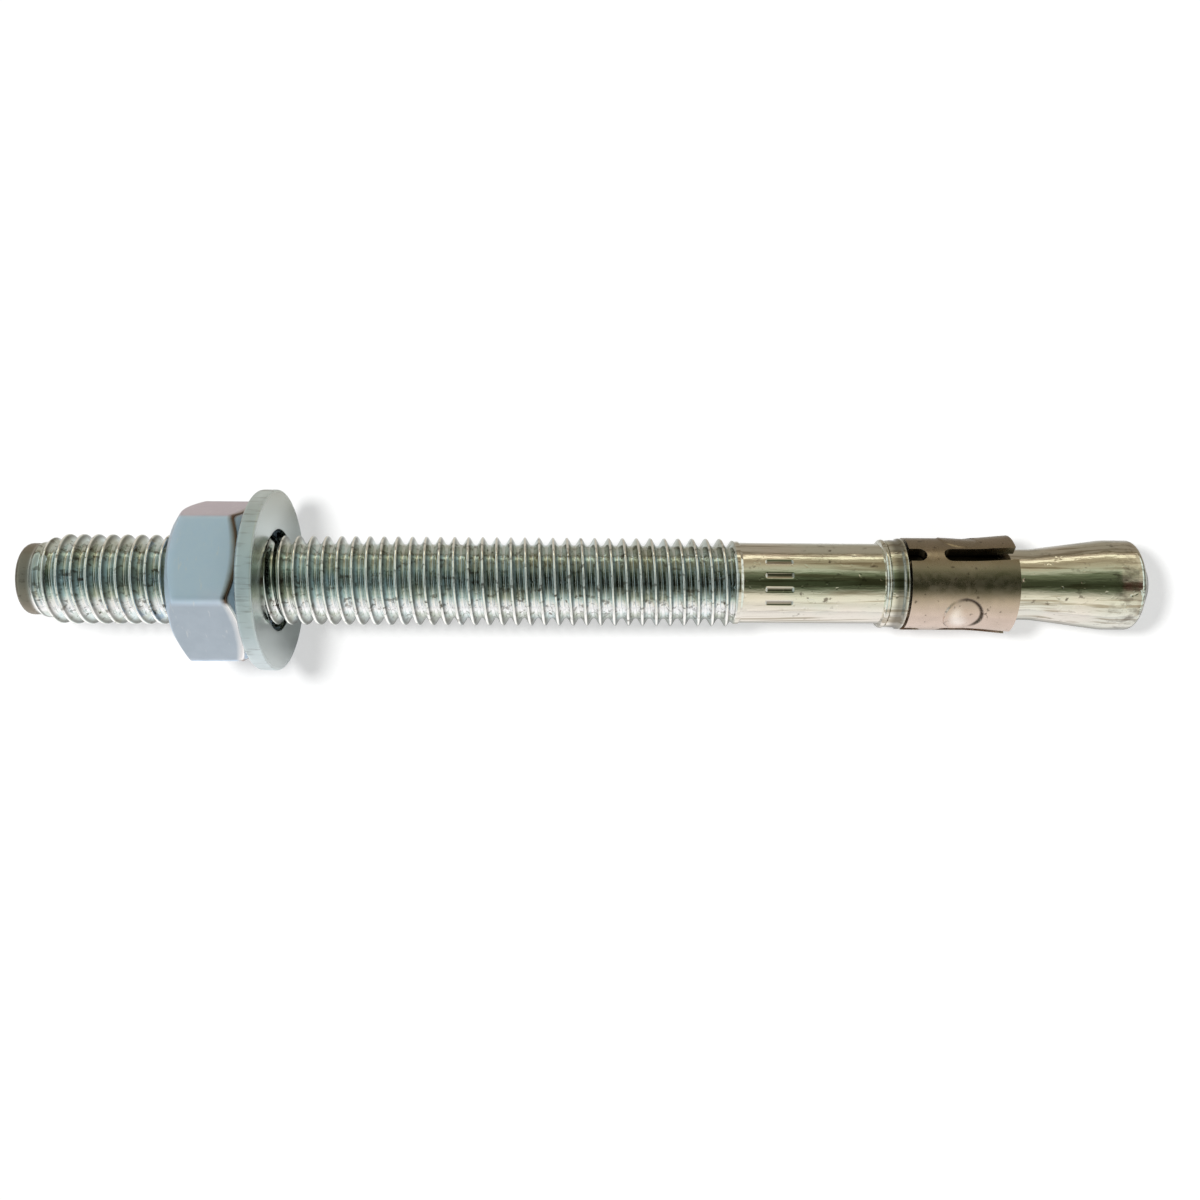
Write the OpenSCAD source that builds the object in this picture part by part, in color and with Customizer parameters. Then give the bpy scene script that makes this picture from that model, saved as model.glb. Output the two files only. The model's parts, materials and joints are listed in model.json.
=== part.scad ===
// Expansion anchor bolt, lying as it comes to rest: the loose washer stands upright beside the nut, the thread
// rests in the washer's hole, and the other end rests on the cone's land.
// Stations run along the bolt's own axis, from 0 at the stub end to the nose of the cone.
// Angles round the axis start straight up and grow towards the front.

/* [Thread] */
// Diameter over the thread crests, rolled and plated
thread_d = 7.95; // [7.6:0.05:8.3]
// Distance from crest to crest
pitch = 1.25; // [0.8:0.05:1.5]
// Length of the thread, from the stub to the run-out band
thread_length = 60.8; // [50:0.1:80]
// Length over which the first crests grow to full height
thread_lead = 2.2; // [1:0.1:4]

/* [Stub] */
// Diameter of the bare stub left of the thread
stub_d = 6.3; // [5.5:0.05:6.5]
// Length of the bare stub
stub_length = 1.2; // [0.8:0.1:5]
// Rounding of the stub's end corner
stub_round = 0.5; // [0.1:0.05:0.7]

/* [Shank and collar] */
// Diameter of the narrow band that ends the thread
band_d = 7.5; // [7.3:0.05:7.9]
// Length of that band
band_length = 0.9; // [0.4:0.1:2]
// Diameter of the plain shank
shank_d = 7.25; // [6.8:0.05:7.3]
// Length of the plain shank
shank_length = 12.6; // [6:0.1:60]
// Diameter of the collar that stops the clip
collar_d = 8.05; // [7.9:0.05:8.2]
// Length of the collar with its bead and its lip
collar_length = 2.05; // [1.5:0.05:4]
// Height of the lip over the collar, where the clip bears
collar_lip = 0.1; // [0.02:0.01:0.2]
// Radius of the rounded bead on the shank side of the collar
bead_r = 0.28; // [0.15:0.01:0.35]

/* [Neck and cone] */
// Diameter of the neck that carries the clip
neck_d = 6.45; // [6:0.05:6.8]
// Length of the neck, from the collar to the foot of the cone
neck_length = 11.95; // [11.5:0.05:16]
// Largest diameter of the cone
cone_d = 8.2; // [7.6:0.05:8.4]
// Length of the tapered stretch
cone_length = 6.6; // [5.5:0.1:9]
// Length of the straight land after the taper
land_length = 2.6; // [1:0.1:5]
// Length of the blunt nose
nose_length = 1.2; // [0.8:0.1:3]
// Diameter of the flat at the end of the nose
nose_d = 3.9; // [2:0.1:6]

/* [Expansion clip] */
// Thickness of the clip's sheet
clip_t = 0.9; // [0.6:0.05:1]
// Length of the clip
clip_length = 9.55; // [8.8:0.05:10.4]
// Gap between the neck and the inside of the clip
clip_fit = 0.06; // [0.03:0.01:0.12]
// Gap between the collar and the clip
clip_back_gap = 0.2; // [0.1:0.05:0.4]
// Length of the mouth that is bent outwards
mouth_length = 4.2; // [3:0.1:5]
// How far the edge of the mouth stands out
mouth_flare = 0.3; // [0.1:0.02:0.4]
// Width of the three slots and of the notches behind them
slot_w = 1.4; // [0.8:0.1:2]
// Length of the slots that open at the mouth
slot_length = 6.5; // [4:0.1:6.7]
// Length of the notches that open at the collar
notch_length = 1.5; // [0.8:0.1:1.6]
// Gap between the two ends of the wrapped sheet
seam_gap = 0.5; // [0.2:0.1:1.2]
// Angle of the slot that shows on top
slot_angle = -38; // [-60:1:0]
// Diameter of the three stamped pads
pad_d = 3.5; // [2:0.1:4]
// Distance from the collar end of the clip to the middle of a pad
pad_station = 4.8; // [3.4:0.05:6]
// Angle from a slot to the middle of the next pad
pad_turn = 82; // [50:1:85]
// Angle by which a pad is tipped out of the sheet
pad_tip = 4.5; // [1:0.5:6]

/* [Nut and washer] */
// Distance from the stub end to the bearing face of the nut
nut_face = 20.2; // [12:0.1:45]
// Thickness of the nut
nut_m = 6.5; // [5:0.1:8]
// Distance across the flats of the nut
nut_af = 13; // [12.5:0.1:13.6]
// Gap between the thread crests and the bore of the nut
nut_fit = 0.05; // [0.02:0.01:0.1]
// Angle of the nut's nearest corner
nut_angle = 14; // [0:1:59]
// Diameter of the nut's bearing face, where its chamfer starts
nut_bearing_d = 11.8; // [11.6:0.1:12.4]
// Slope of the nut's chamfer
nut_slope = 34; // [20:1:40]
// Outer diameter of the washer
washer_d = 16; // [15.8:0.1:20]
// Thickness of the washer
washer_t = 1.45; // [1:0.05:2.5]
// Gap between the thread crests and the hole of the washer
washer_fit = 0.525; // [0.1:0.025:0.7]
// Rounding of the washer's rim on its punched side
washer_round = 0.3; // [0.1:0.05:0.4]
// Gap between the nut's bearing face and the washer where they come closest
washer_gap = 0.03; // [0.02:0.01:0.2]
// Gap between the thread and the low side of the washer's hole, on which it rests
washer_play = 0.05; // [0.03:0.01:0.2]

/* [Setting mark] */
// Number of plain strokes pressed into the shank
mark_count = 4; // [1:1:6]
// Length of a stroke along the shank
mark_length = 2.4; // [1:0.1:3]
// Width of a stroke
mark_w = 0.4; // [0.2:0.05:0.6]
// Depth of a stroke
mark_depth = 0.12; // [0.05:0.01:0.2]
// Distance from the run-out band to the strokes
mark_offset = 2; // [0.5:0.1:3]
// Angle between two strokes
mark_step = 20; // [12:1:24]

/* [Hidden] */

facets = 96;
cut = 0.5;

thread_r = thread_d / 2;
stub_r = stub_d / 2;
thread_depth = 0.56 * pitch;
crest_flat = pitch / 8;
root_r = thread_r - thread_depth;
flank_slope = tan(30);
ring_count = floor(thread_length / pitch);
first_crest_rise = 0.1;

band_r = band_d / 2;
shank_r = shank_d / 2;
collar_r = collar_d / 2;
neck_r = neck_d / 2;
cone_r = cone_d / 2;

thread_start = stub_length;
thread_end = thread_start + thread_length;
shank_start = thread_end + band_length;
collar_start = shank_start + shank_length;
collar_end = collar_start + collar_length;
cone_start = collar_end + neck_length;
cone_end = cone_start + cone_length;
land_end = cone_end + land_length;
bolt_length = land_end + nose_length;

clip_start = collar_end + clip_back_gap;
clip_r_in = neck_r + clip_fit;
clip_r_out = clip_r_in + clip_t;
clip_edge_round = 0.15;
mouth_start = clip_length - mouth_length;
mouth_steps = 8;

nut_start = nut_face - nut_m;
nut_corner_r = nut_af / sqrt(3);
nut_bore_r = thread_r + nut_fit;
nut_chamfer_r = nut_bearing_d / 2;
nut_sink = 0.4;

washer_r = washer_d / 2;
washer_hole_r = thread_r + washer_fit;
washer_edge = 0.1;

// Station at which the bolt's axis passes the middle of the upright washer, for a bolt tipped by an angle
function washer_station(tip) =
    nut_face + (nut_chamfer_r * sin(tip) + washer_gap + washer_t / 2) / cos(tip);

// Height of the axis over that point, with the thread resting in the hole
function thread_height(tip) =
    washer_r - washer_hole_r + thread_r / cos(tip) + washer_t / 2 * tan(tip) + washer_play;

// The bolt tips until its cone's land meets the surface that the washer stands on; each step comes closer
function tipped(tip) =
    asin((thread_height(tip) - cone_r * cos(tip)) / (land_end - washer_station(tip)));
lie_tilt = tipped(tipped(tipped(2)));
axis_height = cone_r * cos(lie_tilt) + land_end * sin(lie_tilt);
left_reach = stub_round * (cos(lie_tilt) - 1) - (stub_r - stub_round) * sin(lie_tilt);
right_reach = bolt_length * cos(lie_tilt) + nose_d / 2 * sin(lie_tilt);
middle = (left_reach + right_reach) / 2;
washer_x = washer_station(lie_tilt) * cos(lie_tilt) - middle;

// Lays a piece that is built along Z down along X, stub end to the left
module lying() {
    translate([-middle, 0, axis_height]) rotate([0, 90 + lie_tilt, 0]) children();
}

// Turns a feature that is built along +X to an angle round the axis
module at_angle(angle) {
    rotate([0, 0, 180 + angle]) children();
}

// Points [radius, station] of an arc about a centre
function arc(radius, station, r, from, to, steps) =
    [for (i = [0 : steps]) let (a = from + (to - from) * i / steps)
        [radius + r * cos(a), station + r * sin(a)]];

// Radius of the crest at a station: the first ones are still growing
function crest_r(station) =
    let (grown = min(1, max(0, (station - thread_start) / thread_lead)))
    root_r + first_crest_rise + (thread_depth - first_crest_rise) * grown;

// One crest of the thread, with 60 degree flanks
function crest(station) =
    let (top = crest_r(station), foot = crest_flat / 2 + (top - root_r) * flank_slope)
    [[root_r, station - foot], [top, station - crest_flat / 2],
     [top, station + crest_flat / 2], [root_r, station + foot]];

// Outline of the bolt from the middle of the stub end to the middle of the nose
function thread_outline() =
    [for (i = [0 : ring_count - 1]) each crest(thread_end - (ring_count - i - 0.5) * pitch)];

function collar_outline() = concat(
    [[shank_r, collar_start]],
    arc(collar_r - bead_r, collar_start + bead_r, bead_r, -90, 60, 8),
    [[collar_r - 0.06, collar_start + 2.2 * bead_r],
     [collar_r - 0.06, collar_end - 0.5],
     [collar_r + collar_lip, collar_end - 0.35],
     [collar_r + collar_lip, collar_end - 0.08],
     [collar_r + collar_lip - 0.08, collar_end]]);

function bolt_outline() = concat(
    [[0, 0]],
    arc(stub_r - stub_round, stub_round, stub_round, -90, 0, 6),
    [[stub_r, thread_start], [root_r, thread_start + 0.01]],
    thread_outline(),
    [[root_r, thread_end], [band_r, thread_end + 0.1], [band_r, shank_start - 0.12],
     [shank_r, shank_start]],
    collar_outline(),
    [[neck_r, collar_end],
     [neck_r, cone_start],
     [cone_r, cone_end],
     [cone_r, land_end],
     [nose_d / 2, bolt_length],
     [0, bolt_length]]);

// Plain strokes in a row round the shank
module setting_mark() {
    for (i = [0 : mark_count - 1])
        at_angle((i - (mark_count - 1) / 2) * mark_step)
            translate([shank_r - mark_depth, -mark_w / 2, shank_start + mark_offset])
                cube([cut, mark_w, mark_length]);
}

module anchor_bolt() {
    color([0.74, 0.74, 0.62]) lying() difference() {
        rotate_extrude($fn = facets) polygon(bolt_outline());
        setting_mark();
    }
}

// Outward bend of the sheet at a distance from the collar end of the clip
function bend(z) =
    let (u = max(0, (z - mouth_start) / mouth_length)) mouth_flare * u * u * (2 - u);

module clip_tube() {
    mouth = [for (i = [0 : mouth_steps]) mouth_start + mouth_length * i / mouth_steps];
    last = mouth_steps;
    outer = [for (i = [0 : last - 1]) [clip_r_out + bend(mouth[i]), mouth[i]]];
    inner = [for (i = [0 : last]) [clip_r_in + bend(mouth[last - i]), mouth[last - i]]];
    rim_r = clip_r_out + bend(clip_length);
    rotate_extrude($fn = facets) polygon(concat(
        [[clip_r_in, 0], [clip_r_out - clip_edge_round, 0],
         [clip_r_out, clip_edge_round]],
        outer,
        [[rim_r, clip_length - clip_edge_round], [rim_r - clip_edge_round, clip_length]],
        inner));
}

// A slot from the mouth and a notch from the collar end, in one line
module slot_and_notch() {
    reach = 2 * clip_r_out;
    slot_end = clip_length - slot_length + slot_w / 2;
    notch_end = notch_length - slot_w / 2;
    translate([0, -slot_w / 2, slot_end]) cube([reach, slot_w, slot_length]);
    translate([0, 0, slot_end]) rotate([0, 90, 0]) cylinder(h = reach, d = slot_w, $fn = 48);
    translate([0, -slot_w / 2, -cut]) cube([reach, slot_w, notch_end + cut]);
    translate([0, 0, notch_end]) rotate([0, 90, 0]) cylinder(h = reach, d = slot_w, $fn = 48);
}

// Column over one pad, from the middle of the sheet outwards
module pad_column() {
    column_r = clip_r_in + clip_t / 2;
    translate([column_r, 0, pad_station]) rotate([0, 90, 0]) cylinder(h = clip_r_out, d = pad_d, $fn = 64);
}

// The sheet's outer form, tipped so that the pad's collar side stands proud
module tipped_form() {
    translate([clip_r_out, 0, pad_station]) rotate([0, -pad_tip, 0])
        translate([-clip_r_out, 0, -pad_d]) cylinder(h = 2 * pad_d, r = clip_r_out, $fn = facets);
}

// What the stamp pushes in
module pad_sunk() {
    difference() {
        pad_column();
        tipped_form();
    }
}

// What the stamp pushes out
module pad_proud() {
    intersection() {
        pad_column();
        tipped_form();
    }
}

module expansion_clip() {
    color([0.52, 0.48, 0.42]) lying() translate([0, 0, clip_start]) {
        difference() {
            clip_tube();
            for (i = [0 : 2]) at_angle(slot_angle + 120 * i) slot_and_notch();
            for (i = [0 : 2]) at_angle(slot_angle + pad_turn + 120 * i) pad_sunk();
            at_angle(slot_angle - 120) translate([0, -seam_gap / 2, -cut])
                cube([2 * clip_r_out, seam_gap, clip_length + 2 * cut]);
        }
        for (i = [0 : 2]) at_angle(slot_angle + pad_turn + 120 * i) pad_proud();
    }
}

// Turned shape that chamfers both ends of the nut's corners
module nut_chamfer() {
    big_r = nut_corner_r + 1;
    drop = (big_r - nut_chamfer_r) * tan(nut_slope);
    rotate_extrude($fn = facets) polygon([
        [0, 0], [nut_chamfer_r, 0], [big_r, drop],
        [big_r, nut_m - drop], [nut_chamfer_r, nut_m], [0, nut_m]]);
}

module hex_nut() {
    color([0.66, 0.71, 0.75]) lying() translate([0, 0, nut_start]) difference() {
        intersection() {
            at_angle(nut_angle) cylinder(h = nut_m, r = nut_corner_r, $fn = 6);
            nut_chamfer();
        }
        translate([0, 0, -cut]) cylinder(h = nut_m + 2 * cut, r = nut_bore_r, $fn = facets);
        translate([0, 0, -0.01]) cylinder(h = nut_sink, r1 = nut_bore_r + nut_sink, r2 = nut_bore_r, $fn = facets);
        translate([0, 0, nut_m - nut_sink + 0.01])
            cylinder(h = nut_sink, r1 = nut_bore_r, r2 = nut_bore_r + nut_sink, $fn = facets);
    }
}

// The washer stands upright on its rim, with the bolt's axis below its middle
module washer() {
    color([0.68, 0.72, 0.70]) translate([washer_x - washer_t / 2, 0, washer_r]) rotate([0, 90, 0])
        rotate_extrude($fn = facets) polygon(concat(
            [[washer_hole_r, washer_edge], [washer_hole_r + washer_edge, 0]],
            arc(washer_r - washer_round, washer_round, washer_round, -90, 0, 6),
            [[washer_r, washer_t - washer_edge], [washer_r - washer_edge, washer_t],
             [washer_hole_r + washer_edge, washer_t], [washer_hole_r, washer_t - washer_edge]]));
}

anchor_bolt();
expansion_clip();
hex_nut();
washer();
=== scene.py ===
import json
import math

import bmesh
import bpy
import numpy as np
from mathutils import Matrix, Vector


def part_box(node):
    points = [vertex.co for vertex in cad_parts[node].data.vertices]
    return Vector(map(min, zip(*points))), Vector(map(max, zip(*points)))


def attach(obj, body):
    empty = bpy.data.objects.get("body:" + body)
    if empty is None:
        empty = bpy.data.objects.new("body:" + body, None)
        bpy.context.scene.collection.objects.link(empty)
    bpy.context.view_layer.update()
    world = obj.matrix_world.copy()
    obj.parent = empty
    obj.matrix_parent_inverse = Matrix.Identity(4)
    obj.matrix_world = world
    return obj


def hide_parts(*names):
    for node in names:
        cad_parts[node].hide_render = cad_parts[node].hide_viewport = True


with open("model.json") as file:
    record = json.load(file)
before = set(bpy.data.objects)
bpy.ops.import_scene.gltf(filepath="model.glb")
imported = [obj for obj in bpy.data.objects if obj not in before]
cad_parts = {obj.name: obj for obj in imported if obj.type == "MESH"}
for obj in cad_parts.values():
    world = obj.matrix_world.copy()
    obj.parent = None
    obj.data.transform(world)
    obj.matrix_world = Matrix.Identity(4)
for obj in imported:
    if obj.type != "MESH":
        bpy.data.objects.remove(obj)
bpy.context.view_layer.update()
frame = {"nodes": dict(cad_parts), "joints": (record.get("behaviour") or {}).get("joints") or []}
print("frame loaded:", ", ".join(sorted(frame["nodes"])))

metre = 1000.0

# The bolt's own axis comes from the nut's joint: stations run along it from 0 at the stub end
spinJoint = next(joint for joint in frame["joints"] if joint["name"] == "nut_spin")
axisPoint = np.array(spinJoint["pos_m"], float)
along = np.array(spinJoint["axis"], float)
along /= np.linalg.norm(along)
front = np.array([0.0, -1.0, 0.0])
up = np.cross(front, along)
nutStation = 16.95


def layOut(radius, angle, station):
    # Place in metres: the axis point, plus station along the axis, plus radius turned from up towards the front
    radius, angle, station = np.broadcast_arrays(radius, angle, station)
    offset = ((station - nutStation)[..., None] * along
              + (radius * np.cos(angle))[..., None] * up
              + (radius * np.sin(angle))[..., None] * front)
    return axisPoint + offset / metre


def polar(points):
    # Radius, angle and station of places in metres: the reverse of layOut
    offset = (points - axisPoint) * metre
    station = offset @ along + nutStation
    upward = offset @ up
    forward = offset @ front
    return np.hypot(upward, forward), np.arctan2(forward, upward), station


def ringAngles(count):
    # Equal angles round the axis
    return np.arange(count) * 2 * math.pi / count


def softMin(a, b, blend):
    # The smaller of two heights, with the corner between them rounded over the blend height
    near = np.maximum(blend - np.abs(a - b), 0) / blend
    return np.minimum(a, b) - near * near * blend / 4


def ease(value):
    # 0 below 0, 1 above 1, and 3t^2 - 2t^3 between them
    value = np.clip(value, 0, 1)
    return value * value * (3 - 2 * value)


def arc(radius, station, size, start, end, steps):
    # Profile points [radius, station] on a circle about a centre, from one angle to another
    turn = np.radians(np.linspace(start, end, steps + 1))
    return [[radius + size * math.cos(a), station + size * math.sin(a)] for a in turn]


def gridFaces(rows, columns, first=0, closeColumns=True, closeRows=False):
    # Corner numbers of the quads between neighbouring rows and columns of a grid
    i = np.arange(rows if closeRows else rows - 1)[:, None]
    j = np.arange(columns if closeColumns else columns - 1)[None, :]
    nextRow = (i + 1) % rows
    nextColumn = (j + 1) % columns
    corners = [i * columns + j, i * columns + nextColumn, nextRow * columns + nextColumn, nextRow * columns + j]
    return first + np.stack(corners, -1).reshape(-1, 4)


def makeMesh(name, points, faces, body, node, sharpAngle=40.0):
    # Points and faces become one welded object at the origin, smooth up to the sharp angle
    mesh = bpy.data.meshes.new(name)
    mesh.from_pydata(points.tolist(), [], faces)
    bm = bmesh.new()
    bm.from_mesh(mesh)
    bmesh.ops.remove_doubles(bm, verts=bm.verts, dist=1.5e-6)
    bmesh.ops.dissolve_degenerate(bm, edges=bm.edges, dist=1e-7)
    bm.to_mesh(mesh)
    bm.free()
    mesh.validate()
    mesh.shade_smooth()
    mesh.set_sharp_from_angle(angle=math.radians(sharpAngle))
    piece = bpy.data.objects.new(name, mesh)
    bpy.context.scene.collection.objects.link(piece)
    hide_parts(node)
    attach(piece, body)
    triangles = sum(len(polygon.vertices) - 2 for polygon in mesh.polygons)
    print(name, "made:", triangles, "triangles")
    return piece


def paint(piece, attribute, rule):
    # Stores one number a vertex, worked out by the rule from the places, radius, angle and station
    mesh = piece.data
    places = np.empty(len(mesh.vertices) * 3, np.float32)
    mesh.vertices.foreach_get("co", places)
    points = places.reshape(-1, 3).astype(float)
    values = rule(points, *polar(points))
    layer = mesh.attributes.new(attribute, "FLOAT", "POINT")
    layer.data.foreach_set("value", np.asarray(values, np.float32))


# Stud

stud = {
    "columns": 96,
    "shankColumns": 288,  # three to a thread column
    "threadStart": 1.2,
    "threadEnd": 62.45,
    "lastCrest": 61.375,  # station of the last crest that passes straight up
    "pitch": 1.25,
    "crestRadius": 3.975,
    "rootRadius": 3.275,
    "crestFlat": 0.15,
    "crestRound": 0.08,
    "rootRound": 0.2,
    "leadIn": 2.2,
    "runOut": 0.55,
    "rowSteps": [0.05, 0.09, 0.13, 0.40, 0.46, 0.53],  # distances from a crest where the thread has a row
    "stubRadius": 3.15,
    "stubRound": 0.5,
    "bandRadius": 3.75,
    "shankStart": 62.9,
    "shankRadius": 3.625,
    "collarStart": 75.5,
    "collarEnd": 77.55,
    "collarRadius": 4.025,
    "collarLip": 0.1,
    "beadRadius": 0.28,
    "neckRadius": 3.225,
    "coneStart": 89.5,
    "coneEnd": 96.1,
    "coneRadius": 4.1,
    "landEnd": 98.7,
    "noseEnd": 99.9,
    "noseFlat": 1.95,
    "strokeAngles": [-30, -10, 10, 30],
    "strokeStart": 64.9,
    "strokeLength": 2.4,
    "strokeWidth": 0.4,
    "strokeDepth": 0.09,
}


def threadRadius(angle, station, shape=stud):
    # Right-hand thread: 60 degree flanks over the root, cut by a soft crest and a soft root, growing at the
    # stub and fading into the band
    turns = (station - shape["lastCrest"]) / shape["pitch"] - angle / (2 * math.pi)
    away = np.abs(turns - np.round(turns)) * shape["pitch"]
    depth = shape["crestRadius"] - shape["rootRadius"]
    flank = depth - (away - shape["crestFlat"] / 2) / math.tan(math.radians(30))
    height = -softMin(-softMin(flank, depth, shape["crestRound"]), 0.0, shape["rootRound"])
    grown = ease((station - shape["threadStart"]) / shape["leadIn"])
    root = shape["stubRadius"] + (shape["rootRadius"] - shape["stubRadius"]) * ease(
        (station - shape["threadStart"]) / 0.4)
    fade = ease((station - shape["threadEnd"] + shape["runOut"]) / shape["runOut"])
    return (root + height * grown) * (1 - fade) + shape["bandRadius"] * fade


def threadGrid(shape=stud):
    # Rows follow the helix: each climbs one pitch a turn, so a row's last column meets the first column of the
    # row one pitch on. Rows past either end are held at the end.
    steps = np.array(shape["rowSteps"])
    rowPlaces = np.sort(np.concatenate([[0], steps, [shape["pitch"] / 2], shape["pitch"] - steps]))
    perTurn = len(rowPlaces)
    turnCount = math.ceil((shape["threadEnd"] - shape["threadStart"]) / shape["pitch"]) + 3
    turn = np.arange(turnCount)[:, None]
    base = shape["lastCrest"] + shape["pitch"] * (2 - turnCount + turn) + rowPlaces[None, :]
    base = base.reshape(-1, 1)
    angle = ringAngles(shape["columns"])[None, :]
    station = np.clip(base + shape["pitch"] * angle / (2 * math.pi), shape["threadStart"], shape["threadEnd"])
    angle = np.broadcast_to(angle, station.shape)
    points = layOut(threadRadius(angle, station), angle, station).reshape(-1, 3)
    columns = shape["columns"]
    i = np.arange(len(base) - perTurn - 1)[:, None]
    j = np.arange(columns)[None, :]
    wraps = j == columns - 1
    rightLow = np.where(wraps, (i + perTurn) * columns, i * columns + j + 1)
    faces = np.stack(np.broadcast_arrays(
        i * columns + j, rightLow, rightLow + columns, (i + 1) * columns + j), -1).reshape(-1, 4)
    place = station.reshape(-1)[faces]
    return points, faces[place.max(1) > place.min(1)]


def crestOffset(angle, station, shape=stud):
    # Millimetres along the axis from the nearest crest, towards the cone end
    turns = (station - shape["lastCrest"]) / shape["pitch"] - angle / (2 * math.pi)
    return (turns - np.round(turns)) * shape["pitch"]


def neckShade(angle, station):
    # Painted shade: 1 on the neck under the clip's slot, and part of that on the collar
    neck = (ease((-0.1 - angle) / 0.1) * ease((angle + 1.4) / 0.1)
            * ease((station - 77.5) / 0.1) * ease((86.8 - station) / 1.0))
    collar = ease((station - 76.3) / 0.3) * ease((77.5 - station) / 0.1)
    return np.maximum(neck, 0.65 * collar)


def threadShadeAndSheen(angle, station):
    # Painted shade and highlight: -1 along the top of the thread, more so towards the shank, and 1 along its front
    top = (1 - ease((np.abs(angle + 0.05) - 0.2) / 0.5)) * (0.25 + 0.75 * ease((station - 26) / 22))
    front = ease((angle - 0.42) / 0.2) * ease((1.15 - angle) / 0.2)
    return front - top


def strokeDepthAt(angle, station, shape=stud):
    # Depth of the plain strokes: a soft-edged trough along the shank at each stroke's angle
    width = shape["strokeWidth"] / 2
    turn = np.radians(np.array(shape["strokeAngles"]))
    sideways = np.abs(np.angle(np.exp(1j * (angle[..., None] - turn)))).min(-1) * shape["shankRadius"]
    lengthways = np.abs(station - shape["strokeStart"] - shape["strokeLength"] / 2) - shape["strokeLength"] / 2
    inside = ease((width + 0.05 - sideways) / 0.13) * ease((0.03 - lengthways) / 0.13)
    return shape["strokeDepth"] * inside


def shankProfile(shape=stud):
    start = shape["shankStart"]
    strokes = shape["strokeStart"]
    strokeRows = np.arange(strokes - 0.2, strokes + shape["strokeLength"] + 0.21, 0.08)
    stations = np.concatenate([np.linspace(start + 0.05, strokes - 0.4, 6), strokeRows,
                               np.linspace(strokeRows[-1] + 0.3, strokeRows[-1] + 1.2, 4)])
    return np.stack([np.full(len(stations), shape["shankRadius"]), stations], -1)


def noseProfile(shape=stud):
    # From the plain shank over the collar, the neck and the cone to the flat of the nose
    radius = shape["collarRadius"]
    start = shape["collarStart"]
    end = shape["collarEnd"]
    bead = shape["beadRadius"]
    lip = radius + shape["collarLip"]
    neck = shape["neckRadius"]
    cone = shape["coneRadius"]
    taper = (cone - neck) / (shape["coneEnd"] - shape["coneStart"])
    noseTurn = math.degrees(math.atan2(shape["landEnd"] - shape["noseEnd"], cone - shape["noseFlat"])) + 90
    points = [[shape["shankRadius"], station] for station in np.linspace(70.0, start - 0.3, 8)]
    points += [[shape["shankRadius"] + 0.01, start - 0.05]]
    points += arc(radius - bead, start + bead, bead, -80, 75, 10)
    points += [[radius - 0.11, start + 2.0 * bead], [radius - 0.08, start + 2.5 * bead]]
    points += [[radius - 0.05, station] for station in np.linspace(start + 1.0, end - 0.55, 4)]
    points += [[radius - 0.02, end - 0.44], [lip - 0.01, end - 0.34], [lip, end - 0.26]]
    points += arc(lip - 0.08, end - 0.08, 0.08, 0, 90, 4)
    points += [[neck + 0.1, end], [neck + 0.03, end + 0.03], [neck, end + 0.1]]
    points += [[neck, station] for station in np.linspace(end + 0.5, shape["coneStart"] - 0.5, 12)]
    for station in np.linspace(-0.5, 0.5, 5):  # soft foot of the cone
        points.append([neck + taper * (station + 0.5) ** 2 / 2, shape["coneStart"] + station])
    points += [[neck + taper * (station - shape["coneStart"]), station]
               for station in np.linspace(shape["coneStart"] + 1.0, shape["coneEnd"] - 0.7, 8)]
    for station in np.linspace(-0.5, 0.5, 6):  # soft top of the cone
        points.append([cone - taper * (0.5 - station) ** 2 / 2, shape["coneEnd"] + station])
    points += [[cone, station] for station in np.linspace(shape["coneEnd"] + 0.8, shape["landEnd"] - 0.7, 3)]
    points += arc(cone - 0.55, shape["landEnd"] - 0.35, 0.55, 0, noseTurn, 7)
    points += [[shape["noseFlat"] + 0.25, shape["noseEnd"] - 0.17], [shape["noseFlat"], shape["noseEnd"] - 0.02],
               [shape["noseFlat"] - 0.15, shape["noseEnd"]]]
    return np.array(points)


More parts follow.
